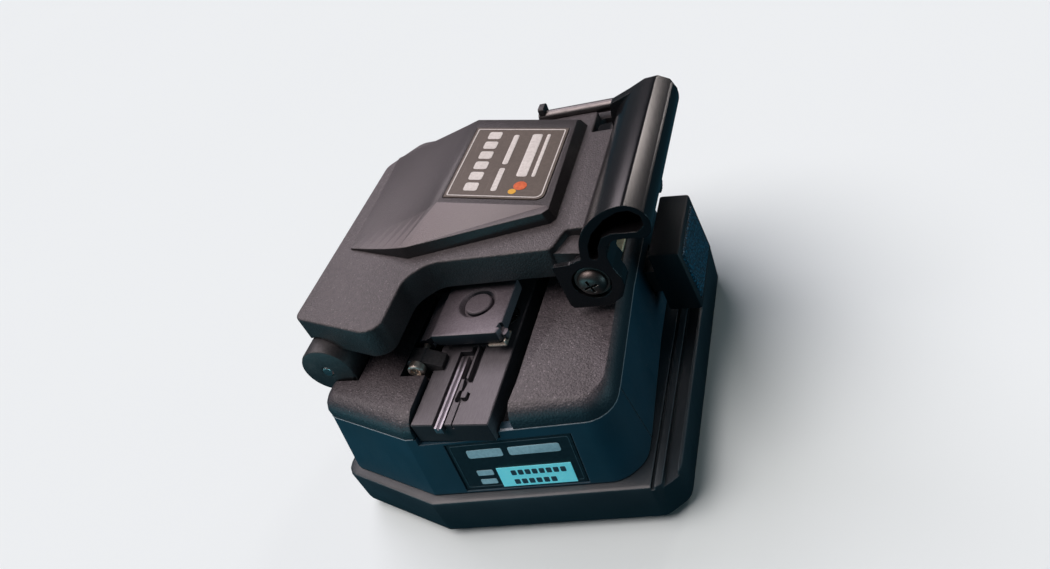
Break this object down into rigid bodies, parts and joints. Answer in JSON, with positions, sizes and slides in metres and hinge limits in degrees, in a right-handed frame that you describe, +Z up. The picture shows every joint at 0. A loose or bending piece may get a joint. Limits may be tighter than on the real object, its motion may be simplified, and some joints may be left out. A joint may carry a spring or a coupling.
{
  "type": "optical fiber cleaver",
  "caption": "Benchtop fiber cleaver: hinged lid with latch handle, fiber rail with magnetic flap, sliding blade carriage with side knob, geared scrap collector.",
  "frame": {"origin": "centre of the bounding box's bottom, on the plane the feet stand on", "axes": "+X towards the user's side with the latch handle and the slider knob, +Y along the fiber from the open rail end to the scrap collector, +Z up"},
  "size_m": [0.0864, 0.104, 0.0646],
  "materials": {
    "textured_black_paint": "textured powder coat",
    "satin_black_paint": "satin",
    "black_anodised": "satin black anodised",
    "grey_anodised": "bead-blasted grey anodised",
    "polished_steel": "polished",
    "dark_nickel": "dark nickel plate",
    "brass": "turned",
    "nameplate_taupe": "matte with a thin border line",
    "label_film": "smooth film",
    "sticker_paper": "matte",
    "rubber": "matte",
    "grained_pad": "leather grain",
    "black_plastic": "matte",
    "clamp_pad_rubber": "matte"
  },
  "bodies": {
    "base": {"base_tray": "satin_black_paint", "body_housing": "satin_black_paint", "label_panel": "label_film", "label_sticker": "sticker_paper", "bottom_plate": "grey_anodised", "foot_front_left": "rubber", "foot_front_right": "rubber", "foot_rear_left": "rubber", "foot_rear_right": "rubber", "deck_cover": "textured_black_paint", "fiber_rail": "grey_anodised", "v_groove_bar": "polished_steel", "lower_pad_front": "clamp_pad_rubber", "rail_magnet": "polished_steel", "rear_clamp_block": "grey_anodised", "lower_pad_rear": "clamp_pad_rubber", "flap_hinge_bracket": "black_plastic", "flap_hinge_screw": "brass", "lid_hinge_pin": "polished_steel", "hinge_block_front": "black_plastic", "hinge_block_rear": "black_plastic", "base_magnet": "polished_steel", "latch_striker": "brass", "guide_rod_front": "polished_steel", "guide_rod_rear": "polished_steel", "rod_mount_left": "black_plastic", "rod_mount_right": "black_plastic", "scrap_case": "black_plastic"},
    "lid": {"lid_casting": "textured_black_paint", "lid_plinth": "textured_black_paint", "nameplate": "nameplate_taupe", "anvil_arm": "polished_steel", "upper_clamp_front": "grey_anodised", "upper_clamp_rear": "grey_anodised", "upper_pad_front": "clamp_pad_rubber", "upper_pad_rear": "clamp_pad_rubber", "lid_magnet": "polished_steel", "rod_lug_left": "black_plastic", "pivot_screw_front": "dark_nickel", "pivot_screw_rear": "dark_nickel", "pivot_washer_front": "dark_nickel", "pivot_washer_rear": "dark_nickel"},
    "handle": {"latch_handle": "black_anodised"},
    "scrap_rod": {"rear_rod": "dark_nickel"},
    "flap": {"clamp_flap": "grey_anodised", "clamp_disc": "black_plastic", "clamp_pad": "clamp_pad_rubber", "clamp_magnet": "polished_steel"},
    "carriage": {"blade_carriage": "grey_anodised", "slider_knob": "black_anodised", "knob_pad": "grained_pad", "blade_axle_screw": "dark_nickel"},
    "blade": {"blade_disc": "polished_steel", "blade_hub": "brass"},
    "lower_roller": {"feed_roller_lower": "rubber", "feed_gear_lower": "brass", "roller_knob": "black_anodised"},
    "upper_roller": {"feed_roller_upper": "rubber", "feed_gear_upper": "brass"},
    "drawer": {"scrap_drawer": "black_plastic"}
  },
  "joints": [
    {"name": "lid_hinge", "type": "hinge", "parent": "base", "child": "lid", "pos_m": [-0.03654, -0.00161, 0.0395], "axis": [0, -1, 0], "range_deg": [0, 75]},
    {"name": "handle_pivot", "type": "hinge", "parent": "lid", "child": "handle", "pos_m": [0.02716, 0.00539, 0.0457], "axis": [0, 1, 0], "range_deg": [0, 12]},
    {"name": "scrap_rod_spin", "type": "hinge", "parent": "lid", "child": "scrap_rod", "pos_m": [0.01396, 0.04159, 0.0522], "axis": [1, 0, 0], "continuous": true},
    {"name": "flap_hinge", "type": "hinge", "parent": "base", "child": "flap", "pos_m": [-0.01424, -0.01861, 0.037], "axis": [0, -1, 0], "range_deg": [0, 90]},
    {"name": "carriage_slide", "type": "slide", "parent": "base", "child": "carriage", "axis": [1, 0, 0], "range_m": [0, 0.022]},
    {"name": "blade_spin", "type": "hinge", "parent": "carriage", "child": "blade", "pos_m": [-0.01504, 0.00139, 0.0258], "axis": [0, 1, 0], "continuous": true},
    {"name": "lower_roller_spin", "type": "hinge", "parent": "base", "child": "lower_roller", "pos_m": [-0.00204, 0.04139, 0.027], "axis": [1, 0, 0], "continuous": true},
    {"name": "upper_roller_spin", "type": "hinge", "parent": "base", "child": "upper_roller", "pos_m": [-0.00204, 0.04139, 0.0313], "axis": [1, 0, 0], "continuous": true},
    {"name": "drawer_slide", "type": "slide", "parent": "base", "child": "drawer", "axis": [0, 1, 0], "range_m": [0, 0.03]}
  ],
  "couplings": [
    {"joint": "flap_hinge", "follows": "lid_hinge", "ratio": 1.2},
    {"joint": "upper_roller_spin", "follows": "lower_roller_spin", "ratio": -1}
  ]
}
